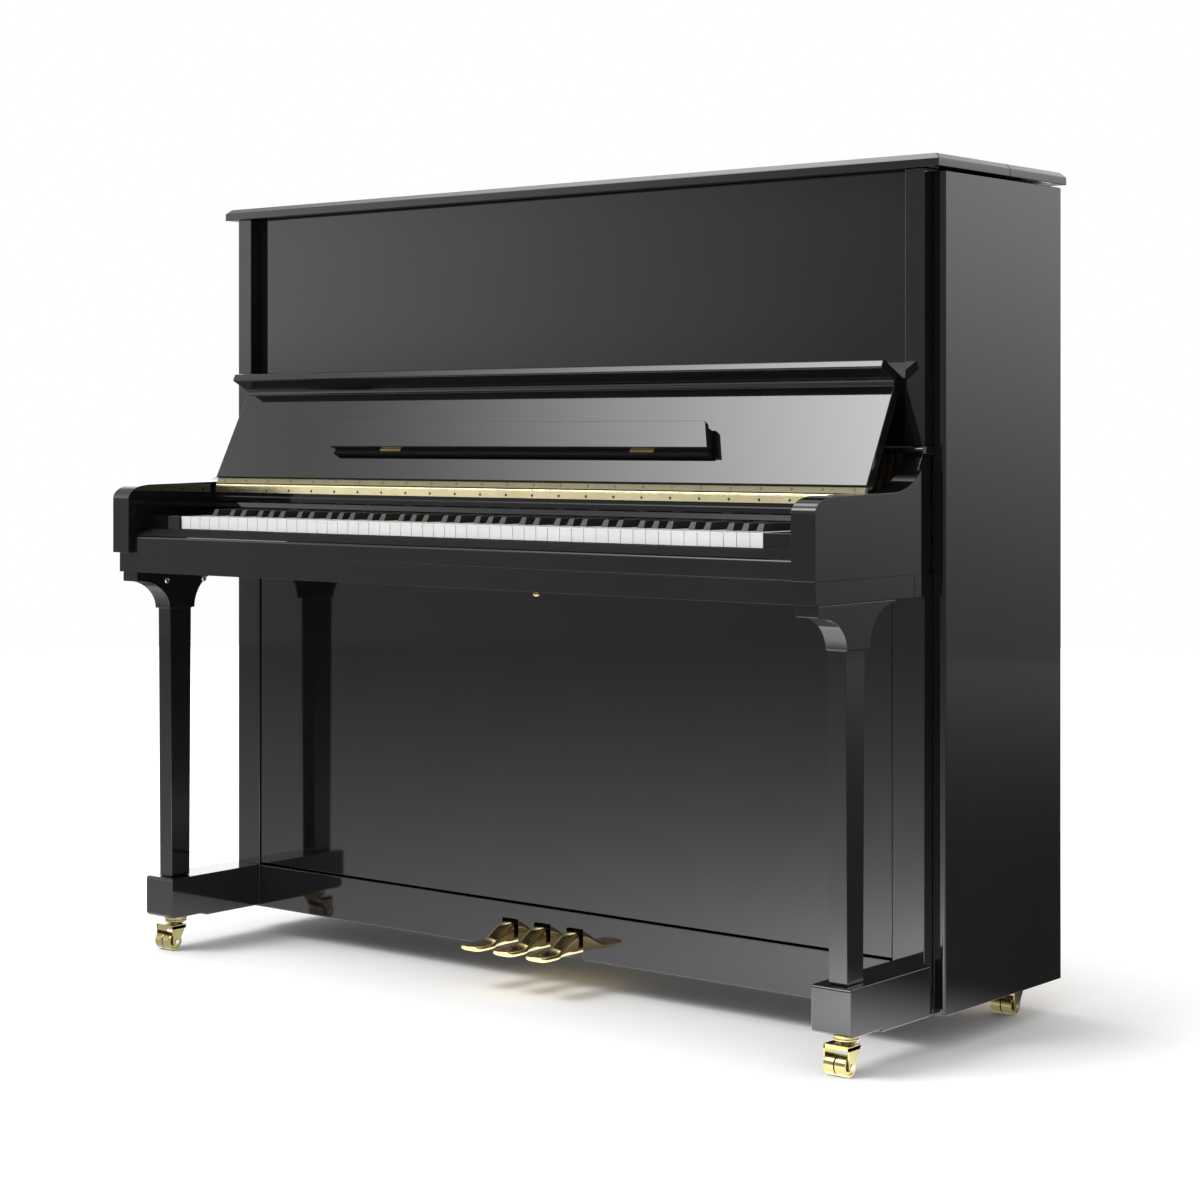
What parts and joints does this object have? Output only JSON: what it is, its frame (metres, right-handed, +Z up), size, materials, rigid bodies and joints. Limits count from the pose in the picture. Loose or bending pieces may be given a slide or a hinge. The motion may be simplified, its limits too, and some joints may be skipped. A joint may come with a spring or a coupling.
{
  "type": "upright piano",
  "caption": "Black lacquered upright piano with open fallboard, full keyboard, brass pedals, straight legs on toe blocks and swivel casters.",
  "frame": {"origin": "middle of the footprint, on the floor", "axes": "+X towards the treble end, +Y from the keyboard to the back, +Z up"},
  "size_m": [1.514, 0.6602, 1.3173],
  "materials": {
    "black_lacquer": "high-gloss black polyester over wood",
    "brass": "polished",
    "key_white": "satin gloss ivory-white key covering",
    "key_black": "matte black key covering",
    "beech": "plain oiled",
    "spruce": "clear satin",
    "gilt_iron": "bronze-gold paint",
    "steel": "drawn wire",
    "felt": "pressed wool felt",
    "rubber": "matte"
  },
  "bodies": {
    "case": {"side_panel_right": "black_lacquer", "side_panel_left": "black_lacquer", "upper_post_right": "black_lacquer", "upper_post_left": "black_lacquer", "lower_stile_right": "black_lacquer", "lower_stile_left": "black_lacquer", "upper_panel": "black_lacquer", "lower_panel": "black_lacquer", "kick_rail": "black_lacquer", "bottom_board": "black_lacquer", "top_shelf": "black_lacquer", "lid_rear": "black_lacquer", "lid_hinge": "brass", "keybed": "black_lacquer", "key_slip": "black_lacquer", "key_block_right": "black_lacquer", "key_block_left": "black_lacquer", "arm_right": "black_lacquer", "arm_left": "black_lacquer", "hinge_rail": "black_lacquer", "fallboard_hinge_fixed_leaf": "brass", "leg_right": "black_lacquer", "leg_left": "black_lacquer", "toe_block_right": "black_lacquer", "toe_block_left": "black_lacquer", "back_frame": "beech", "soundboard": "spruce", "pin_block": "beech", "iron_plate": "gilt_iron", "strings": "steel", "key_frame": "beech"},
    "lid_front": {"lid_front": "black_lacquer"},
    "fallboard": {"fallboard": "black_lacquer", "fallboard_hinge_moving_leaf": "brass", "music_ledge": "black_lacquer"},
    "music_ledge_flap": {"music_ledge_flap": "black_lacquer"},
    "pedal_left": {"pedal_left": "brass"},
    "trap_rod_left": {"trap_rod_left": "beech"},
    "pedal_middle": {"pedal_middle": "brass"},
    "trap_rod_middle": {"trap_rod_middle": "beech"},
    "pedal_right": {"pedal_right": "brass"},
    "trap_rod_right": {"trap_rod_right": "beech"},
    "hammers": {"hammers": "felt"},
    "dampers": {"dampers": "felt"},
    "keys_group_1": {"keys_group_1": "key_white"},
    "keys_group_2": {"keys_group_2": "key_white"},
    "keys_group_3": {"keys_group_3": "key_white"},
    "keys_group_4": {"keys_group_4": "key_white"},
    "keys_group_5": {"keys_group_5": "key_white"},
    "keys_group_6": {"keys_group_6": "key_white"},
    "keys_group_7": {"keys_group_7": "key_white"},
    "caster_fork_front_left": {"caster_fork_front_left": "brass"},
    "caster_wheels_front_left": {"caster_wheels_front_left": "brass"},
    "caster_fork_front_right": {"caster_fork_front_right": "brass"},
    "caster_wheels_front_right": {"caster_wheels_front_right": "brass"},
    "caster_fork_rear_left": {"caster_fork_rear_left": "brass"},
    "caster_wheels_rear_left": {"caster_wheels_rear_left": "brass"},
    "caster_fork_rear_right": {"caster_fork_rear_right": "brass"},
    "caster_wheels_rear_right": {"caster_wheels_rear_right": "brass"}
  },
  "joints": [
    {"name": "lid_front_fold", "type": "hinge", "parent": "case", "child": "lid_front", "pos_m": [0, 0.1564, 1.3148], "axis": [-1, 0, 0], "range_deg": [0, 180]},
    {"name": "fallboard_hinge", "type": "hinge", "parent": "case", "child": "fallboard", "pos_m": [0, -0.1328, 0.8125], "axis": [-1, 0, 0], "range_deg": [-118, 0]},
    {"name": "music_ledge_flap_hinge", "type": "hinge", "parent": "fallboard", "child": "music_ledge_flap", "pos_m": [0, -0.12019, 0.87734], "axis": [1, 0, 0], "range_deg": [0, 90]},
    {"name": "pedal_left_hinge", "type": "hinge", "parent": "case", "child": "pedal_left", "pos_m": [0, 0.0184, 0.073], "axis": [1, 0, 0], "range_deg": [0, 5.5], "stiffness_Nm_per_rad": 12, "springref_deg": -8.59},
    {"name": "trap_rod_left_slide", "type": "slide", "parent": "case", "child": "trap_rod_left", "axis": [0, 0, 1], "range_m": [0, 0.005]},
    {"name": "pedal_middle_hinge", "type": "hinge", "parent": "case", "child": "pedal_middle", "pos_m": [0, 0.0184, 0.073], "axis": [1, 0, 0], "range_deg": [0, 5.5], "stiffness_Nm_per_rad": 12, "springref_deg": -8.59},
    {"name": "trap_rod_middle_slide", "type": "slide", "parent": "case", "child": "trap_rod_middle", "axis": [0, 0, 1], "range_m": [0, 0.005]},
    {"name": "pedal_right_hinge", "type": "hinge", "parent": "case", "child": "pedal_right", "pos_m": [0, 0.0184, 0.073], "axis": [1, 0, 0], "range_deg": [0, 5.5], "stiffness_Nm_per_rad": 12, "springref_deg": -8.59},
    {"name": "trap_rod_right_slide", "type": "slide", "parent": "case", "child": "trap_rod_right", "axis": [0, 0, 1], "range_m": [0, 0.005]},
    {"name": "hammer_rail_tilt", "type": "hinge", "parent": "case", "child": "hammers", "pos_m": [0, 0.0634, 0.797], "axis": [-1, 0, 0], "range_deg": [0, 3]},
    {"name": "damper_rail_tilt", "type": "hinge", "parent": "case", "child": "dampers", "pos_m": [0, 0.1494, 0.812], "axis": [1, 0, 0], "range_deg": [0, 3]},
    {"name": "keys_group_1_dip", "type": "hinge", "parent": "case", "child": "keys_group_1", "pos_m": [0, -0.0566, 0.739], "axis": [1, 0, 0], "range_deg": [0, 2.5], "stiffness_Nm_per_rad": 8, "springref_deg": -11.46},
    {"name": "keys_group_2_dip", "type": "hinge", "parent": "case", "child": "keys_group_2", "pos_m": [0, -0.0566, 0.739], "axis": [1, 0, 0], "range_deg": [0, 2.5], "stiffness_Nm_per_rad": 8, "springref_deg": -11.46},
    {"name": "keys_group_3_dip", "type": "hinge", "parent": "case", "child": "keys_group_3", "pos_m": [0, -0.0566, 0.739], "axis": [1, 0, 0], "range_deg": [0, 2.5], "stiffness_Nm_per_rad": 8, "springref_deg": -11.46},
    {"name": "keys_group_4_dip", "type": "hinge", "parent": "case", "child": "keys_group_4", "pos_m": [0, -0.0566, 0.739], "axis": [1, 0, 0], "range_deg": [0, 2.5], "stiffness_Nm_per_rad": 8, "springref_deg": -11.46},
    {"name": "keys_group_5_dip", "type": "hinge", "parent": "case", "child": "keys_group_5", "pos_m": [0, -0.0566, 0.739], "axis": [1, 0, 0], "range_deg": [0, 2.5], "stiffness_Nm_per_rad": 8, "springref_deg": -11.46},
    {"name": "keys_group_6_dip", "type": "hinge", "parent": "case", "child": "keys_group_6", "pos_m": [0, -0.0566, 0.739], "axis": [1, 0, 0], "range_deg": [0, 2.5], "stiffness_Nm_per_rad": 8, "springref_deg": -11.46},
    {"name": "keys_group_7_dip", "type": "hinge", "parent": "case", "child": "keys_group_7", "pos_m": [0, -0.0566, 0.739], "axis": [1, 0, 0], "range_deg": [0, 2.5], "stiffness_Nm_per_rad": 8, "springref_deg": -11.46},
    {"name": "caster_front_left_swivel", "type": "hinge", "parent": "case", "child": "caster_fork_front_left", "pos_m": [-0.70595, -0.2116, 0.045], "axis": [0, 0, 1], "continuous": true},
    {"name": "caster_front_left_roll", "type": "hinge", "parent": "caster_fork_front_left", "child": "caster_wheels_front_left", "pos_m": [-0.70595, -0.2286, 0.015], "axis": [1, 0, 0], "continuous": true},
    {"name": "caster_front_right_swivel", "type": "hinge", "parent": "case", "child": "caster_fork_front_right", "pos_m": [0.70595, -0.2116, 0.045], "axis": [0, 0, 1], "continuous": true},
    {"name": "caster_front_right_roll", "type": "hinge", "parent": "caster_fork_front_right", "child": "caster_wheels_front_right", "pos_m": [0.70595, -0.2286, 0.015], "axis": [1, 0, 0], "continuous": true},
    {"name": "caster_rear_left_swivel", "type": "hinge", "parent": "case", "child": "caster_fork_rear_left", "pos_m": [-0.68905, 0.2751, 0.045], "axis": [0, 0, 1], "continuous": true},
    {"name": "caster_rear_left_roll", "type": "hinge", "parent": "caster_fork_rear_left", "child": "caster_wheels_rear_left", "pos_m": [-0.68905, 0.2581, 0.015], "axis": [1, 0, 0], "continuous": true},
    {"name": "caster_rear_right_swivel", "type": "hinge", "parent": "case", "child": "caster_fork_rear_right", "pos_m": [0.68905, 0.2751, 0.045], "axis": [0, 0, 1], "continuous": true},
    {"name": "caster_rear_right_roll", "type": "hinge", "parent": "caster_fork_rear_right", "child": "caster_wheels_rear_right", "pos_m": [0.68905, 0.2581, 0.015], "axis": [1, 0, 0], "continuous": true}
  ],
  "couplings": [
    {"joint": "trap_rod_left_slide", "follows": "pedal_left_hinge", "m_per_rad": 0.052},
    {"joint": "trap_rod_middle_slide", "follows": "pedal_middle_hinge", "m_per_rad": 0.052},
    {"joint": "trap_rod_right_slide", "follows": "pedal_right_hinge", "m_per_rad": 0.052},
    {"joint": "hammer_rail_tilt", "follows": "pedal_left_hinge", "ratio": 0.545},
    {"joint": "damper_rail_tilt", "follows": "pedal_right_hinge", "ratio": 0.545}
  ]
}
